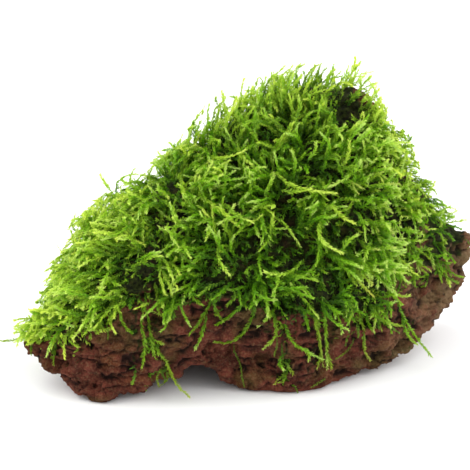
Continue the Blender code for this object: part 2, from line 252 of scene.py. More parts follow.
def lava_finish():
    """Matt red-brown stone: painted shade in its hollows and cracks, paler where it is chipped, green with
    algae, painted dark under the moss.
    """
    finish = Finish("red_lava", 0.92)
    shade = finish.noise(5 * MM, 4)
    colour = finish.mix(shade.from_to(0.35, 0.7), RED, PALE_RED)
    rust = finish.noise(8 * MM, 3).from_to(0.52, 0.72)
    colour = finish.mix(rust * 0.7, colour, ORANGE)
    # Painted shade: thin dark level streaks, as the shade in the cracks between the layers.
    crack_shade = finish.noise(3 * MM, 4, stretch=(3.5, 3.5, 0.7)).from_to(0.42, 0.25)
    colour = finish.mix(crack_shade * 0.85, colour, CREVICE_SHADE)
    film = finish.noise(16 * MM, 4).from_to(0.5, 0.66)
    colour = finish.mix(film * 0.55, colour, ALGAE)
    grit_and_pit_shade = finish.noise(0.7 * MM, 3)
    colour = finish.mix(grit_and_pit_shade.from_to(0.5, 0.8) * 0.5, colour, TAN)
    # Painted shade: dark specks in the crevice colour, as the shade of tiny pits; the pale specks above are
    # grit.
    colour = finish.mix(grit_and_pit_shade.from_to(0.5, 0.2) * 0.6, colour, CREVICE_SHADE)
    place = finish.node("ShaderNodeTexCoord", output="Object")
    across = finish.node("ShaderNodeSeparateXYZ", {}, {"Vector": place})
    chalky = across.from_to(40 * MM, 68 * MM) * finish.noise(6 * MM, 4).from_to(0.35, 0.6)
    colour = finish.mix(chalky * 0.6, colour, TAN)
    hollow = finish.attribute("hollow")
    # Painted shade: the deeper the hollow, the nearer the stone goes to near-black.
    colour = finish.mix(hollow.from_to(0.3, 1.4) * 0.92, colour, CREVICE_SHADE)
    # Under the moss the stone is painted nearly black: partly peat and old stems, partly painted shade from
    # the moss.
    peat_and_shade = finish.mix(finish.noise(1.2 * MM, 4).from_to(0.4, 0.65), PEAT_SHADE, OLD_STEMS)
    peat_and_shade_share = finish.noise(4 * MM, 4).from_to(0.3, 0.45, 0.75, 0.97)
    colour = finish.mix(finish.attribute("under_moss") * peat_and_shade_share, colour, peat_and_shade)
    finish.feed(finish.shader.inputs["Base Color"], colour)
    finish.shader.inputs["Specular IOR Level"].default_value = 0.2
    fine = finish.noise(0.45 * MM, 4) + finish.noise(1.3 * MM, 3) * 1.5
    sockets = {"Height": fine, "Strength": 0.9, "Distance": 0.5 * MM}
    finish.feed(finish.shader.inputs["Normal"], finish.node("ShaderNodeBump", {}, sockets))
    return finish.material


rock.data.materials.append(lava_finish())
for polygon in rock.data.polygons:
    polygon.use_smooth = True
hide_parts("lava_rock")
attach(rock, "root")

# The cushion is java moss: thousands of thin stems that root on the stone in tufts, arch over each
# other and branch, each with small pointed leaves down its sides. They are old, dark and bare low
# in the cushion and lime green at the growing tips. A mesh holds only some, so there are several.
MOST_TRIANGLES = 190_000
PATH_POINTS = 7
STEM_SIDES = 3
STEM_WIDTH = 0.26 * MM
LEAF_LENGTH, LEAF_WIDTH, LEAF_SPACING = 1.25 * MM, 0.42 * MM, 0.16 * MM
# Leaves leave the stem in a spiral that is flatter than it is wide.
LEAF_TURN, LEAF_FLATNESS = math.radians(137.5), 0.7
# Along the map of a shoot's colours, across is age from old base to young tip, and up is hue from olive
# through pure green to yellow-lime. On the cushion both also carry painted light: brighter and yellower
# where light falls, darker and more olive where shade falls.
BASE_TO_TIP = (
    (0.0, (0.016, 0.024, 0.002)),
    (0.25, (0.040, 0.125, 0.002)),
    (0.5, (0.11, 0.31, 0.003)),
    (0.75, (0.27, 0.56, 0.010)),
    # The palest stop, at the very tips, is partly the young tips' own colour and partly painted highlight,
    # as is the pale LIME_TIP.
    (1.0, (0.70, 0.88, 0.22)),
)
OLIVE_TIP, LIME_TIP = (0.46, 0.44, 0.05), (0.86, 0.96, 0.11)


def unit(vectors):
    return vectors / np.maximum(np.linalg.norm(vectors, axis=-1, keepdims=True), 1e-12)


def even_path(places):
    """A smooth path through the places, as PATH_POINTS points the same way apart."""
    places = np.array(places, float)
    ends = np.concatenate([2 * places[:1] - places[1:2], places, 2 * places[-1:] - places[-2:-1]])
    smooth = []
    for i in range(1, len(ends) - 2):
        for share in np.linspace(0, 1, 12, endpoint=False):
            a, b, c, d = ends[i - 1 : i + 3]
            bend = (2 * a - 5 * b + 4 * c - d) * share**2 + (3 * b - a - 3 * c + d) * share**3
            smooth.append((2 * b + (c - a) * share + bend) / 2)
    smooth = np.array([*smooth, places[-1]])
    walked = np.concatenate([[0], np.cumsum(np.linalg.norm(np.diff(smooth, axis=0), axis=1))])
    stops = np.linspace(0, walked[-1], PATH_POINTS)
    return np.stack([np.interp(stops, walked, smooth[:, axis]) for axis in range(3)], axis=1)


class Shoots:
    """Paths of moss shoots as arrays, one row for each shoot."""

    def __init__(self, root, start, end, curl, facing, length):
        count = len(root)
        step = np.linspace(0, 1, PATH_POINTS)[None, :, None]
        along = start[:, None] * (1 - step) ** 1.5 + end[:, None] * step
        self.along = unit(along + curl[:, None] * (step**1.5 - 0.4 * (1 - step)))
        walked = np.cumsum(self.along * (length / (PATH_POINTS - 1))[:, None, None], axis=1)
        self.points = root[:, None] + walked - walked[:, :1]
        self.length = length
        self.set_frames(facing[:, None])
        self.hue = np.full(count, 0.5)
        self.age_from = np.zeros(count)
        self.age_to = np.ones(count)
        self.width = np.ones(count)
        self.leaves = np.maximum(3, (length / LEAF_SPACING).astype(int))

    def set_frames(self, facing):
        self.side = unit(np.cross(self.along, facing))
        self.up = unit(np.cross(self.side, self.along))

    @classmethod
    def through(cls, paths, facing):
        """Shoots that follow the paths given, each a list of places from root to tip."""
        paths = np.array([even_path(path) for path in paths])
        length = np.linalg.norm(np.diff(paths, axis=1), axis=2).sum(axis=1)
        ahead = unit(paths[:, 1] - paths[:, 0])
        made = cls(paths[:, 0], ahead, ahead, 0 * ahead, facing, length)
        made.points = paths
        steps = np.diff(paths, axis=1)
        made.along = unit(np.concatenate([steps, steps[:, -1:]], axis=1))
        made.set_frames(facing[:, None])
        return made

    def settle(self, bed, clearance, reach):
        """Lifts the shoots out of the stone, and bends back what stands further off it than their reach."""
        for path, most in zip(self.points, reach):
            for i in range(1, PATH_POINTS):
                near, outward, index, distance = bed.find_nearest(Vector(path[i]))
                if (Vector(path[i]) - near).dot(outward) < clearance:
                    path[i] = near + outward * clearance
                elif distance > most:
                    path[i] = near + (Vector(path[i]) - near) * ((most + 0.2 * (distance - most)) / distance)
        steps = np.diff(self.points, axis=1)
        self.along = unit(np.concatenate([steps, steps[:, -1:]], axis=1))
        self.set_frames(self.up)

    def at(self, which, share):
        """(point, along, side, up) part of the way up the shoots picked."""
        place = np.clip(share * (PATH_POINTS - 1), 0, PATH_POINTS - 1.001)
        low = place.astype(int)
        part = (place - low)[:, None]
        return [
            field[which, low] * (1 - part) + field[which, low + 1] * part
            for field in (self.points, self.along, self.side, self.up)
        ]

    def picked(self, which):
        piece = Shoots.__new__(Shoots)
        for name, values in vars(self).items():
            setattr(piece, name, values[which])
        return piece

    def triangles(self):
        return self.leaves * 2 + (PATH_POINTS - 1) * STEM_SIDES * 2 + 1


def joined(groups):
    """One set of shoots from several."""
    whole = Shoots.__new__(Shoots)
    for name in vars(groups[0]):
        setattr(whole, name, np.concatenate([getattr(group, name) for group in groups]))
    return whole


def side_shoots(shoots, dice, each):
    """Short branches that leave the shoots on either side, about so many from a long one."""
    which = np.repeat(np.arange(len(shoots.length)), int(np.ceil(each)))
    chance = np.clip(shoots.length[which] / (14 * MM), 0, 1.2) * each / np.ceil(each)
    which = which[dice.random(len(which)) < chance]
    share = dice.uniform(0.2, 0.8, len(which))
    sign = dice.choice([-1.0, 1.0], len(which))[:, None]
    point, along, side, up = shoots.at(which, share)
    start = unit(along * 0.7 + side * sign + up * dice.uniform(-0.2, 0.6, (len(which), 1)))
    end = unit(along + side * sign * 0.4 + 0.3 * dice.normal(size=along.shape))
    curl = 0.5 * dice.normal(size=along.shape)
    length = np.minimum(shoots.length[which] * (1.1 - share), 8 * MM) * dice.uniform(0.4, 0.85, len(which))
    made = Shoots(point, start, end, curl, up + 0.3 * dice.normal(size=up.shape), length)
    made.hue = shoots.hue[which]
    made.age_from = shoots.age_from[which] + (shoots.age_to - shoots.age_from)[which] * share
    made.age_to = np.clip(np.maximum(made.age_from + 0.15, shoots.age_to[which]), 0, 1)
    made.width = shoots.width[which] * 0.85
    return made


def stem_mesh(shoots):
    """Tapering three-sided stems: corners, triangles and each corner's place on the colour map."""
    count = len(shoots.length)
    turn = np.arange(STEM_SIDES) * 2 * math.pi / STEM_SIDES
    taper = np.linspace(1, 0.35, PATH_POINTS)[None, :, None, None]
    radius = STEM_WIDTH / 2 * shoots.width[:, None, None, None] * taper
    ring = (
        shoots.side[:, :, None] * np.cos(turn)[None, None, :, None]
        + shoots.up[:, :, None] * np.sin(turn)[None, None, :, None]
    )
    corners = (shoots.points[:, :, None] + ring * radius).reshape(-1, 3)
    step = np.arange(PATH_POINTS - 1)[:, None] * STEM_SIDES
    a = step + np.arange(STEM_SIDES)[None]
    b = step + (np.arange(STEM_SIDES)[None] + 1) % STEM_SIDES
    walls = np.stack([a, b, b + STEM_SIDES, a, b + STEM_SIDES, a + STEM_SIDES], -1).reshape(-1, 3)
    tip = (PATH_POINTS - 1) * STEM_SIDES
    walls = np.concatenate([walls, [[tip, tip + 1, tip + 2]]])
    first = np.arange(count)[:, None, None] * PATH_POINTS * STEM_SIDES
    share = np.linspace(0, 1, PATH_POINTS)[None, :, None]
    age = shoots.age_from[:, None, None] + (shoots.age_to - shoots.age_from)[:, None, None] * share
    age = np.broadcast_to(age, (count, PATH_POINTS, STEM_SIDES)) * 0.85
    hue = shoots.hue[:, None, None] + np.linspace(-0.01, 0.01, STEM_SIDES)[None, None]
    hue = np.broadcast_to(hue, age.shape)
    return corners, (walls[None] + first).reshape(-1, 3), np.stack([age, hue], -1).reshape(-1, 2)


def leaf_mesh(shoots, dice):
    """Pointed leaves, folded along the middle, all along the shoots."""
    which = np.repeat(np.arange(len(shoots.leaves)), shoots.leaves)
    order = np.arange(len(which)) - np.repeat(np.cumsum(shoots.leaves) - shoots.leaves, shoots.leaves)
    share = (order + 0.6 + dice.uniform(-0.3, 0.3, len(which))) / shoots.leaves[which]
    share = np.clip(share, 0, 1)
    point, along, side, up = shoots.at(which, share)
    turn = (order * LEAF_TURN + dice.normal(0, 0.35, len(which)))[:, None]
    out = unit(side * np.cos(turn) + up * np.sin(turn) * LEAF_FLATNESS)
    lean = (0.80 - 0.3 * share + dice.normal(0, 0.12, len(which)))[:, None]
    blade = unit(along * np.cos(lean) + out * np.sin(lean))
    edge = unit(np.cross(along, out) + 0.6 * dice.normal(size=blade.shape))
    face = unit(np.cross(edge, blade))
    across = unit(np.cross(blade, face))
    size = 0.5 + 0.5 * np.sin(np.pi * np.clip(share * 0.9, 0.12, 0.9)) ** 0.5
    size = (size * dice.uniform(0.8, 1.15, len(which)) * shoots.width[which])[:, None]
    length = LEAF_LENGTH * size
    middle = point + blade * length * 0.42
    half = across * LEAF_WIDTH / 2 * size
    fold = face * LEAF_WIDTH * 0.22 * size
    tip = point + blade * length - fold * 0.6
    corners = np.stack([point, middle + half - fold, tip, middle - half - fold], 1)
    first = np.arange(len(which))[:, None, None] * 4
    triangles = (np.array([[0, 1, 2], [0, 2, 3]])[None] + first).reshape(-1, 3)
    age = shoots.age_from[which] + (shoots.age_to - shoots.age_from)[which] * share
    # The leaf's tip sits furthest along the colour map, so it is palest: partly its own colour, partly
    # painted highlight.
    age = np.clip(age[:, None] + np.array([-0.08, 0.02, 0.16, 0.02])[None], 0, 1)
    hue = shoots.hue[which][:, None] + np.array([0.0, 0.02, 0.0, -0.02])[None]
    return corners.reshape(-1, 3), triangles, np.stack([age, hue], -1).reshape(-1, 2)


def moss_mesh(name, shoots, dice):
    """One object from shoots: their stems and leaves, with the map that their colours lie on."""
    stems, stem_faces, stem_colours = stem_mesh(shoots)
    leaves, leaf_faces, leaf_colours = leaf_mesh(shoots, dice)
    corners = np.concatenate([stems, leaves])
    triangles = np.concatenate([stem_faces, leaf_faces + len(stems)])
    colours = np.clip(np.concatenate([stem_colours, leaf_colours]), 0.004, 0.996)
    corners[:, 2] = np.maximum(corners[:, 2], 0.2 * MM)
    mesh = bpy.data.meshes.new(name)
    mesh.vertices.add(len(corners))
    mesh.vertices.foreach_set("co", corners.astype(np.float32).ravel())
    mesh.loops.add(triangles.size)
    mesh.loops.foreach_set("vertex_index", triangles.astype(np.int32).ravel())
    mesh.polygons.add(len(triangles))
    mesh.polygons.foreach_set("loop_start", np.arange(len(triangles), dtype=np.int32) * 3)
    colour_map = mesh.uv_layers.new(name="OFBake")
    colour_map.uv.foreach_set("vector", colours[triangles.ravel()].astype(np.float32).ravel())
    mesh.update(calc_edges=True)
    piece = bpy.data.objects.new(name, mesh)
    bpy.context.scene.collection.objects.link(piece)
    return piece


def moss_finish():
    """Thin wet leaves that let light through, coloured by their place on the shoot."""
    finish = Finish("java_moss", 0.45)
    place = finish.node("ShaderNodeUVMap", {"uv_map": "OFBake"})
    split = finish.node("ShaderNodeSeparateXYZ", {}, {"Vector": place})
    hue = Wire(finish, split.socket.node.outputs[1])
    green = finish.node("ShaderNodeValToRGB", {"stops": BASE_TO_TIP}, {"Fac": split})
    tips = split.from_to(0.25, 1.0)
    colour = finish.mix(hue.from_to(0.45, 0.0) * tips, green, OLIVE_TIP)
    colour = finish.mix(hue.from_to(0.5, 1.0) * tips * 0.9, colour, LIME_TIP)
    finish.feed(finish.shader.inputs["Base Color"], colour)
    finish.shader.inputs["Specular IOR Level"].default_value = 0.35
    glow = finish.node("ShaderNodeBsdfTranslucent", {}, {"Color": colour})
    sockets = {0: 0.4, 1: Wire(finish, finish.shader.outputs[0]), 2: glow}
    both = finish.node("ShaderNodeMixShader", {}, sockets)
    output = finish.tree.nodes["Material Output"]
    finish.feed(output.inputs["Surface"], both)
    return finish.material


def spots_on(bed_mesh, count, dice):
    """Places spread evenly over a mesh, with the outward direction at each."""
    places = places_of(bed_mesh)
    faces = np.array([p.vertices[:3] for p in bed_mesh.polygons])
    a, b, c = (places[faces[:, i]] for i in range(3))
    cross = np.cross(b - a, c - a)
    area = np.linalg.norm(cross, axis=1)
    pick = dice.choice(len(area), count, p=area / area.sum())
    u, v = dice.random((2, count, 1))
    u, v = np.where(u + v > 1, 1 - u, u), np.where(u + v > 1, 1 - v, v)
    return a[pick] + (b - a)[pick] * u + (c - a)[pick] * v, unit(cross[pick])


rooting = worked_copy("lava_rock", "rooting_guide")
apply_modifier(rooting, "SMOOTH", iterations=6, factor=0.5)
rooting_mesh = rooting.data
bpy.data.objects.remove(rooting)


def rooted(mat, tries, dice):
    """(place, outward, depth of the moss) where the stone is covered by one mat, out of so many tries."""
    places, outward = spots_on(rooting_mesh, tries, dice)
    kept = []
    for place, way in zip(places, outward):
        direction = Vector(way)
        under = mat.ray_cast(Vector(place) - direction * 0.5 * MM, direction, 4 * MM)
        if under[0] is None:
            continue
        top = mat.ray_cast(Vector(place) + direction * 40 * MM, -direction, 40 * MM)
        depth = 40 * MM - top[3] if top[0] else 2 * MM
        kept.append((*place, *way, min(depth, 8 * MM)))
    kept = np.array(kept)
    return kept[:, :3], kept[:, 3:6], kept[:, 6]


def smooth_noise(places, size, seed):
    """Vectors that change slowly from place to place."""
    shift = Vector((seed * 13.1, 0, 0))
    return np.array([noise.noise_vector(Vector(p) / size + shift) for p in places])


def tufts(places, spacing, dice):
    """For each place, the middle of its tuft and a lean that the whole tuft shares."""
    middles = []
    for place in places:
        if all(np.linalg.norm(place - middle) > spacing for middle in middles):
            middles.append(place)
    middles = np.array(middles)
    leans = dice.normal(size=middles.shape)
    nearest = np.array([np.argmin(np.linalg.norm(middles - place, axis=1)) for place in places])
    return middles[nearest], leans[nearest]


PHOTO_WIDTH, SENSOR_WIDTH = 470, 36
CAMERA_DISTANCE, CAMERA_TILT, LENS = 0.55, math.radians(20), 131.6
AIM_HEIGHT = 38.8 * MM
looking = Vector((0, -math.cos(CAMERA_TILT), math.sin(CAMERA_TILT)))
above = Vector((0, math.sin(CAMERA_TILT), math.cos(CAMERA_TILT)))
aim = Vector((-1.6 * MM, -0.1 * MM, 0)) + above * AIM_HEIGHT
eye = aim + looking * CAMERA_DISTANCE
# Dark hollows between the tufts, and single shoots that arch over the cushion, as places in the photograph,
# in pixels, read off it. A hollow also has a radius.
HOLLOWS = (
    ((340, 233), 5.0 * MM),
    ((288, 259), 3.6 * MM),
    ((216, 268), 3.0 * MM),
    ((265, 134), 2.0 * MM),
    ((309, 129), 2.0 * MM),
    ((247, 246), 2.6 * MM),
    ((140, 279), 2.8 * MM),
    ((335, 281), 2.8 * MM),
    ((337, 103), 3.2 * MM),
    ((351, 118), 2.4 * MM),
    ((158, 241), 2.4 * MM),
)
ARCHING_SHOOTS = (
    ((268, 176), (273, 169), (280, 178), (290, 185), (312, 191), (335, 193)),
    ((281, 190), (292, 192), (310, 189)),
    ((357, 153), (355, 168), (345, 179), (330, 186)),
    ((325, 210), (332, 206), (342, 217), (354, 223)),
    ((325, 210), (321, 222), (317, 232), (326, 245), (342, 253)),
    ((341, 253), (347, 242), (357, 235)),
    ((302, 260), (295, 270), (280, 275), (265, 272)),
    ((219, 246), (218, 256), (222, 266), (229, 274)),
    ((160, 200), (169, 204), (174, 212), (176, 222)),
    ((182, 174), (182, 188), (186, 200)),
    ((200, 197), (211, 203), (225, 214), (238, 226)),
    ((225, 203), (235, 214), (252, 222)),
    ((264, 196), (270, 184), (274, 174)),
    ((270, 236), (272, 224), (273, 214)),
    ((130, 268), (142, 262), (150, 257), (161, 256)),
    ((135, 262), (146, 256), (158, 252)),
    ((237, 140), (240, 154), (252, 165)),
    ((308, 160), (316, 150), (316, 143)),
    ((340, 166), (348, 158), (350, 140)),
    ((328, 122), (335, 128), (342, 138)),
    ((296, 118), (300, 108), (298, 96)),
    ((262, 104), (268, 94), (277, 110)),
    ((118, 199), (107, 186), (100, 175)),
    ((227, 114), (224, 103), (222, 92)),
    ((372, 240), (367, 252), (364, 262)),
    ((337, 86), (345, 76), (348, 68)),
    ((329, 88), (327, 77), (334, 70)),
    ((246, 120), (243, 106), (246, 94)),
    ((252, 114), (250, 100), (253, 86)),
    ((240, 124), (235, 112), (239, 102)),
    ((262, 108), (261, 92), (266, 78)),
    ((257, 124), (255, 112), (258, 98)),
    ((271, 114), (270, 98), (274, 84)),
    ((248, 130), (242, 118), (234, 108)),
    ((281, 108), (283, 92), (280, 76)),
)


def seen_on(bed, pixels, lift):
    """The places seen in the photograph at some pixels, on a surface and lifted towards the camera."""
    depth = CAMERA_DISTANCE - 9 * MM
    places = []
    for across, down in pixels:
        wide = (across - PHOTO_WIDTH / 2) * SENSOR_WIDTH / PHOTO_WIDTH / LENS
        tall = (PHOTO_WIDTH / 2 - down) * SENSOR_WIDTH / PHOTO_WIDTH / LENS
        ray = Vector((wide, 0, 0)) + above * tall - looking
        hit, outward, index, distance = bed.ray_cast(eye, ray.normalized())
        if hit:
            depth = (eye - hit).dot(looking)
        places.append(eye + ray * (depth - lift))
    return places


def shoots_seen(bed, runs, lift, ages, width, dice):
    """Shoots along runs of pixels: ages are that of the root and the range of the tips."""
    paths = [seen_on(bed, run, lift) for run in runs]
    facing = np.array([looking] * len(paths)) + 0.3 * dice.normal(size=(len(paths), 3))
    made = Shoots.through(paths, facing)
    made.width *= width
    made.age_from[:] = ages[0]
    made.age_to = dice.uniform(ages[1], ages[2], len(paths))
    return made


FALL = np.array([0, 0, -1.0])
cushion_low, cushion_high = (np.array(corner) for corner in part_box("moss_cushion"))
cushion_middle = np.array([6, 0, 34]) * MM
GAP_SIZE, GAP_LEVEL = 8 * MM, -0.14
SWEEP_SIZE = 13 * MM


def cushion_layer(tries, lengths, ages, fan_out, spacing, rise, lift, gaps, dice):
    """Shoots over the whole cushion: their lengths, youngest ages, and how they leave their tufts.

    They branch off up to the share lift of the way through the depth of the moss.
    """
    place, outward, depth = rooted(moss_mats[0], tries, dice)
    thick = np.array([noise.noise(Vector(p) / GAP_SIZE) for p in place])
    gap_level = GAP_LEVEL - 0.4 * np.clip((place[:, 2] - 50 * MM) / (10 * MM), 0, 1)
    kept = thick + 0.1 * dice.normal(size=len(place)) > (gap_level if gaps else -9)
    kept &= dice.random(len(place)) > 0.7 * np.clip((place[:, 0] - 38 * MM) / (10 * MM), 0, 1)
    place, outward, depth, thick = place[kept], outward[kept], depth[kept], thick[kept]
    middle, lean = tufts(place, spacing, dice)
    fan = (place - middle) / spacing
    root = middle + (place - middle) * 0.8 + outward * (depth * lift * dice.random(len(place)))[:, None]
    radial = unit((place - cushion_middle) * np.array([1, 0.2, 1]))
    fall = FALL - outward * (outward @ FALL)[:, None]
    low = np.clip((38 * MM - place[:, 2]) / (16 * MM), 0, 1)[:, None]
    high = np.clip((place[:, 2] - 60 * MM) / (16 * MM), 0, 1)[:, None]
    right = np.clip((place[:, 0] - 34 * MM) / (16 * MM), 0, 1)[:, None]
    wild = dice.normal(size=place.shape)
    sweep = smooth_noise(place, SWEEP_SIZE, 7) * 1.6 + lean * 0.35 + fan * fan_out
    flow = radial * (0.8 + 0.3 * right) + sweep * (1 - 0.4 * right) + fall * (0.3 + 0.5 * low)
    flow = unit(flow - outward * (flow * outward).sum(axis=1, keepdims=True))
    start = unit(outward * rise + flow * 0.5 + wild * 0.25)
    end = unit(flow + outward * 0.15 + wild * 0.3 + np.array([0, 0, 1.1]) * high)
    curl = dice.normal(size=place.shape) * (0.85 - 0.4 * high) + fall * 0.4 * (1 - high)
    full = np.clip(depth / (6 * MM), 0.5, 1.0) * (1 - 0.2 * right[:, 0])
    length = dice.uniform(*lengths, len(place)) * full * np.clip(1 + 0.6 * thick, 0.75, 1.3)
    facing = outward + 0.5 * dice.normal(size=place.shape)
    made = Shoots(root - outward * 0.3 * MM, start, end, curl, facing, length)
    across = (place[:, 0] - cushion_low[0]) / (cushion_high[0] - cushion_low[0])
    made.hue = 0.95 - 0.70 * across + 0.12 * dice.normal(size=len(place)) + 0.06 * lean[:, 0]
    # Partly the moss's own colour, partly painted light: yellower at the top and right, more olive low in
    # the middle.
    made.hue += 0.35 * high[:, 0] + 0.4 * right[:, 0] - 0.22 * low[:, 0] * (across > 0.3)
    made.hue = np.clip(made.hue, 0.05, 0.98)
    # Painted light: shoots move toward the bright young end of the colour map on the lit left, right and
    # upper slope, and toward the dark end low in the middle, where shade falls.
    slope = np.clip(1 - np.abs(place[:, 2] - 58 * MM) / (14 * MM), 0, 1) * (across < 0.55)
    east = np.clip((place[:, 0] - 26 * MM) / (10 * MM), 0, 1)
    painted_light = 0.22 * np.clip(1.2 - 2 * across, 0, 1) + 0.30 * east + 0.10 * slope
    painted_light -= 0.2 * low[:, 0] * (across > 0.3) + 0.05 * high[:, 0]
    made.age_to = np.clip(dice.uniform(*ages, len(place)) + 0.05 * lean[:, 1] + painted_light, 0.2, 1.0)
    made.age_from = made.age_to * 0.3
    return made


dice = np.random.default_rng(11)
old = cushion_layer(6600, (4 * MM, 7 * MM), (0.35, 0.6), 0.9, 5 * MM, 0.6, 0.4, False, dice)
old.leaves = np.maximum(3, old.leaves * 6 // 10)
old.width *= 1.15
young = cushion_layer(6200, (7 * MM, 12 * MM), (0.55, 0.85), 0.5, 6 * MM, 0.7, 0.6, True, dice)
arching = cushion_layer(3400, (9 * MM, 16 * MM), (0.75, 1.0), 0.3, 6 * MM, 0.9, 0.7, True, dice)
over = joined([young, arching, side_shoots(young, dice, 0.15), side_shoots(arching, dice, 0.35)])
for (pixel, radius) in HOLLOWS:
    floor_of_it = np.array(seen_on(rock_bed, [pixel], 0)[0])
    mouth = np.array(seen_on(rock_bed, [pixel], 9 * MM)[0])
    line = unit(mouth - floor_of_it)
    off = over.points - floor_of_it
    along_line = (off * line).sum(axis=2)
    aside = np.linalg.norm(off - along_line[..., None] * line, axis=2)
    crossing = (aside < radius) & (along_line > -2 * MM) & (along_line < 14 * MM)
    over = over.picked(~crossing.any(axis=1))
cushion = joined([old, over])
crown = np.clip((cushion.points[:, 0, 2] - 40 * MM) / (30 * MM), 0, 1)
right = np.clip((cushion.points[:, 0, 0] - 34 * MM) / (10 * MM), 0, 1)
left = np.clip((-48 * MM - cushion.points[:, 0, 0]) / (12 * MM), 0, 1)
reach = dice.uniform(5.5 * MM, 9.5 * MM, len(cushion.length)) + crown * 0.8 * MM
cushion.settle(rock_bed, 0.7 * MM, reach * (1 - 0.8 * right - 0.45 * left))
single = shoots_seen(moss_mats[0], ARCHING_SHOOTS, 1.5 * MM, (0.45, 0.85, 1.0), 1.25, dice)
single.hue = dice.uniform(0.5, 0.9, len(single.length))
cushion = joined([cushion, single])
moss_material = moss_finish()


def dressed(base_name, shoots, node, dice):
    """Objects of at most MOST_TRIANGLES from left to right, each standing for the CAD node."""
    order = np.argsort(shoots.points[:, 0, 0])
    spent = np.cumsum(shoots.triangles()[order])
    pieces = int(np.ceil(spent[-1] / MOST_TRIANGLES))
    share = spent[-1] / pieces
    for i in range(pieces):
        which = order[(spent > share * i) & (spent <= share * (i + 1))]
        name = base_name if pieces == 1 else f"{base_name}_{i + 1}"
        piece = moss_mesh(name, shoots.picked(which), dice)
        piece.data.materials.append(moss_material)
        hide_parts(node)
        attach(piece, "root")


dressed("cushion_shoots", cushion, "moss_cushion", dice)

# The thin moss on the right shoulder is starved: single yellow shoots that point down and out over
# the slope, dark old ones below them, and bare rock between and along the outer edge.
RIGHT_SIDE, BARE_EDGE, LOWEST_MOSS, EDGE_WANDER = 46 * MM, 63 * MM, 27 * MM, 9 * MM
BARE_PATCH_SIZE, BARE_PATCH_LEVEL = 4 * MM, -0.12
SHOULDER_SHOOTS = (
    ((420, 203), (428, 194), (435, 182)),
    ((435, 219), (446, 216), (457, 211)),
    ((439, 223), (452, 222), (467, 220)),
    ((436, 215), (447, 207), (455, 209)),
    ((442, 241), (445, 250), (447, 261)),
    ((444, 269), (447, 277), (450, 286)),
    ((425, 245), (431, 255), (434, 268)),
    ((411, 250), (417, 262), (419, 272)),
    ((436, 228), (441, 236), (446, 243)),
    ((402, 237), (413, 241), (424, 240)),
    ((383, 148), (392, 140), (400, 149)),
    ((378, 131), (384, 133), (391, 134)),
    ((400, 176), (408, 173), (412, 178)),
    ((369, 117), (376, 119), (384, 120)),
    ((363, 98), (368, 97), (372, 98)),
)


def on_shoulder(tries, dice):
    """(place, outward) over the right side of the rock, in patches down to a ragged lower edge."""
    place, outward = spots_on(rooting_mesh, tries, dice)
    ragged = smooth_noise(place, 8 * MM, 4)[:, 0] * EDGE_WANDER
    kept = (place[:, 0] > RIGHT_SIDE) & (place[:, 2] > LOWEST_MOSS + ragged) & (outward[:, 2] > -0.1)
    kept &= place[:, 0] + 0.4 * ragged < BARE_EDGE
    place, outward = place[kept], outward[kept]
    patchy = np.array([noise.noise(Vector(p) / BARE_PATCH_SIZE) for p in place]) > BARE_PATCH_LEVEL
    patchy &= dice.random(len(place)) < 0.62
    return place[patchy], outward[patchy]


place, outward = on_shoulder(6000, dice)
wild = dice.normal(size=place.shape)
lean = smooth_noise(place, 7 * MM, 2)
fall = FALL - outward * (outward @ FALL)[:, None]
upper = np.clip((place[:, 2:] - 38 * MM) / (14 * MM), 0, 1)
down_right = unit(fall * (0.9 - 0.7 * upper) + np.array([0.8, 0, 0]))
start = unit(outward * 0.6 + down_right * 0.7 + lean * 0.8 + wild * 0.3)
end = unit(outward * 0.1 + down_right * 1.1 + lean * 0.8 + wild * 0.35)
curl = 0.6 * dice.normal(size=place.shape)
length = dice.uniform(5 * MM, 11 * MM, len(place))
facing = outward + 0.4 * dice.normal(size=place.shape)
shoulder = Shoots(place - outward * 0.3 * MM, start, end, curl, facing, length)
shoulder.hue = np.clip(0.35 + 0.4 * upper[:, 0] + 0.15 * dice.normal(size=len(place)), 0.05, 0.98)
shoulder.age_to = dice.uniform(0.5, 0.85, len(place)) + 0.15 * upper[:, 0]
shoulder.age_from = shoulder.age_to * 0.35
shoulder = joined([shoulder, side_shoots(shoulder, dice, 0.7)])
shoulder.settle(rock_bed, 0.7 * MM, dice.uniform(2.5 * MM, 4.5 * MM, len(shoulder.length)))
single = shoots_seen(rock_bed, SHOULDER_SHOOTS, 2.5 * MM, (0.6, 0.85, 1.0), 1.05, dice)
single.hue = dice.uniform(0.5, 0.8, len(single.length))
shoulder = joined([shoulder, single])
dressed("shoulder_shoots", shoulder, "shoulder_moss", dice)

# Creeping shoots leave the edge of the moss all round and run down the bare stone. They are thin, dark and
# far apart, and lie close along the stone.
EDGE_REACH = 3.5 * MM


def at_moss_edge(tries, dice):
    """(place, outward) on bare stone close to a mat of moss."""
    places, outward = spots_on(rooting_mesh, tries, dice)
    kept = []
    for place, way in zip(places, outward):
        near = min(mat.find_nearest(Vector(place))[3] for mat in moss_mats)
        kept.append(near < EDGE_REACH and not moss_over(Vector(place), Vector(way)))
    return places[kept], outward[kept]


place, outward = at_moss_edge(6000, dice)
kept = dice.random(len(place)) < np.where(place[:, 1] < -5 * MM, 0.25, 0.6)
place, outward = place[kept], outward[kept]
fall = FALL - outward * (outward @ FALL)[:, None]
wander = smooth_noise(place, 6 * MM, 9) * 1.5 + 0.4 * dice.normal(size=place.shape)
start = unit(outward * 0.3 + fall * 0.8 + wander)
end = unit(fall * 1.1 + wander * 0.8 - outward * 0.1)
length = dice.uniform(3 * MM, 10 * MM, len(place))
creeping = Shoots(place, start, end, 0.7 * dice.normal(size=place.shape), outward, length)
creeping.hue = dice.uniform(0.1, 0.5, len(place))
creeping.age_from[:] = 0.3
creeping.age_to = dice.uniform(0.4, 0.85, len(place))
creeping.width = dice.uniform(0.7, 0.95, len(place))
creeping.settle(rock_bed, 0.6 * MM, np.full(len(place), 1.5 * MM))
dressed("creeping_shoots", creeping, "moss_cushion", dice)

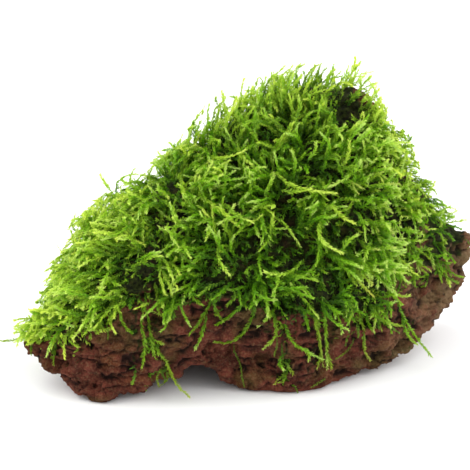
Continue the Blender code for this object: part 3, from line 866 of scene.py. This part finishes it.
# Single shoots hang from the cushion's fringe over the bare face, lie along the stone, and reach past
# its edge at the left tip and the lower right. Each is a run of places in the photograph, in pixels.
HANGING_SHOOTS = (
    ((117, 304), (119, 312), (123, 324), (128, 331), (131, 332)),
    ((143, 306), (141, 328), (145, 339), (144, 356), (142, 368)),
    ((146, 310), (149, 324), (151, 339), (154, 355), (161, 372)),
    ((150, 338), (156, 341), (163, 344)),
    ((150, 338), (157, 351), (165, 360), (169, 368), (175, 383), (189, 397)),
    ((213, 294), (211, 302), (205, 313), (198, 325), (189, 334)),
    ((207, 316), (204, 327), (201, 337), (195, 349)),
    ((250, 290), (248, 298), (236, 311), (225, 320), (216, 325)),
    ((255, 306), (253, 316), (247, 328), (238, 339), (227, 343), (215, 342)),
    ((184, 284), (188, 290), (192, 297), (202, 305)),
    ((155, 282), (156, 290), (158, 303), (159, 314)),
    ((281, 291), (279, 299), (272, 313), (265, 321), (258, 326)),
    ((272, 308), (277, 331), (275, 338), (269, 344), (263, 349)),
    ((282, 310), (285, 327), (291, 341), (302, 349), (315, 356), (322, 359)),
    ((302, 349), (308, 351), (309, 360)),
    ((309, 296), (312, 308), (318, 331), (320, 347), (323, 366)),
    ((322, 296), (324, 310), (326, 331), (327, 351), (327, 368)),
    ((321, 352), (319, 361), (317, 368)),
    ((327, 352), (330, 361), (331, 368)),
    ((322, 284), (325, 290), (333, 303), (338, 315), (341, 327)),
    ((336, 309), (343, 313), (352, 314)),
    ((356, 302), (359, 314), (364, 330)),
    ((366, 312), (369, 325), (374, 332)),
    ((364, 332), (364, 347), (367, 356), (370, 360)),
    ((394, 294), (399, 306), (405, 320), (417, 338), (431, 356)),
    ((402, 316), (405, 328), (410, 339), (417, 344)),
    ((368, 312), (379, 319), (395, 325), (404, 326)),
    ((374, 246), (379, 256), (387, 269), (395, 280)),
    ((386, 248), (391, 259), (400, 274), (408, 283)),
    ((54, 318), (36, 330), (22, 338), (8, 341), (1, 341)),
)
THIN_SHOOTS = (
    ((234, 344), (234, 351), (240, 363), (242, 377), (244, 386)),
    ((282, 344), (282, 352), (283, 363), (284, 375), (283, 384)),
    ((106, 312), (106, 320), (108, 330), (108, 339)),
    ((277, 338), (277, 346), (274, 356)),
    ((360, 322), (358, 328), (348, 336), (335, 338)),
    ((354, 338), (352, 344), (346, 352), (336, 359)),
    ((326, 378), (320, 382), (312, 387)),
)


hanging = shoots_seen(rock_bed, HANGING_SHOOTS, 1.3 * MM, (0.42, 0.62, 0.9), 1.1, dice)
hanging.hue = dice.uniform(0.08, 0.5, len(hanging.length))
thin = shoots_seen(rock_bed, THIN_SHOOTS, 1.2 * MM, (0.3, 0.35, 0.5), 0.7, dice)
thin.hue = dice.uniform(0.0, 0.25, len(thin.length))
dressed("hanging_shoots", joined([hanging, thin]), "moss_cushion", dice)

# The setting is a plain white floor, lit softly from both sides and a little from the front right,
# and seen from a little above.
bpy.ops.object.select_all(action="DESELECT")
bpy.ops.mesh.primitive_plane_add(size=6, location=(0, 0, 0))
floor = bpy.context.active_object
floor.name = "floor"
paper = Finish("white_paper", 0.9)
paper.shader.inputs["Base Color"].default_value = (0.93, 0.93, 0.93, 1)
floor.data.materials.append(paper.material)


def soft_light(name, place, size, power):
    """A square lamp that looks at the middle of the object."""
    lamp = bpy.data.lights.new(name, "AREA")
    lamp.size = size
    lamp.energy = power
    light = bpy.data.objects.new(name, lamp)
    light.location = place
    light.rotation_euler = (Vector((0, 0, 0.04)) - light.location).to_track_quat("-Z", "Y").to_euler()
    bpy.context.scene.collection.objects.link(light)


def far_light(name, direction, strength):
    """Soft light from far off, the same all over the object."""
    lamp = bpy.data.lights.new(name, "SUN")
    lamp.angle = math.radians(60)
    lamp.energy = strength
    light = bpy.data.objects.new(name, lamp)
    light.rotation_euler = Vector(direction).to_track_quat("Z", "Y").to_euler()
    bpy.context.scene.collection.objects.link(light)


soft_light("fill", Vector((0.7, -0.7, 0.5)), 0.8, 1.5)
far_light("left_light", (-0.9, 0.1, 0.9), 2.4)
far_light("right_light", (0.9, 0.0, 0.8), 2.2)
world = bpy.data.worlds.new("studio")
world.use_nodes = True
world.node_tree.nodes["Background"].inputs["Color"].default_value = (1, 1, 1, 1)
world.node_tree.nodes["Background"].inputs["Strength"].default_value = 0.85
bpy.context.scene.world = world
bpy.context.scene.view_settings.view_transform = "Standard"

camera_data = bpy.data.cameras.new("camera")
camera_data.sensor_width = SENSOR_WIDTH
camera_data.lens = LENS
camera = bpy.data.objects.new("camera", camera_data)
camera.location = eye
camera.rotation_euler = looking.to_track_quat("Z", "Y").to_euler()
bpy.context.scene.collection.objects.link(camera)
bpy.context.scene.camera = camera
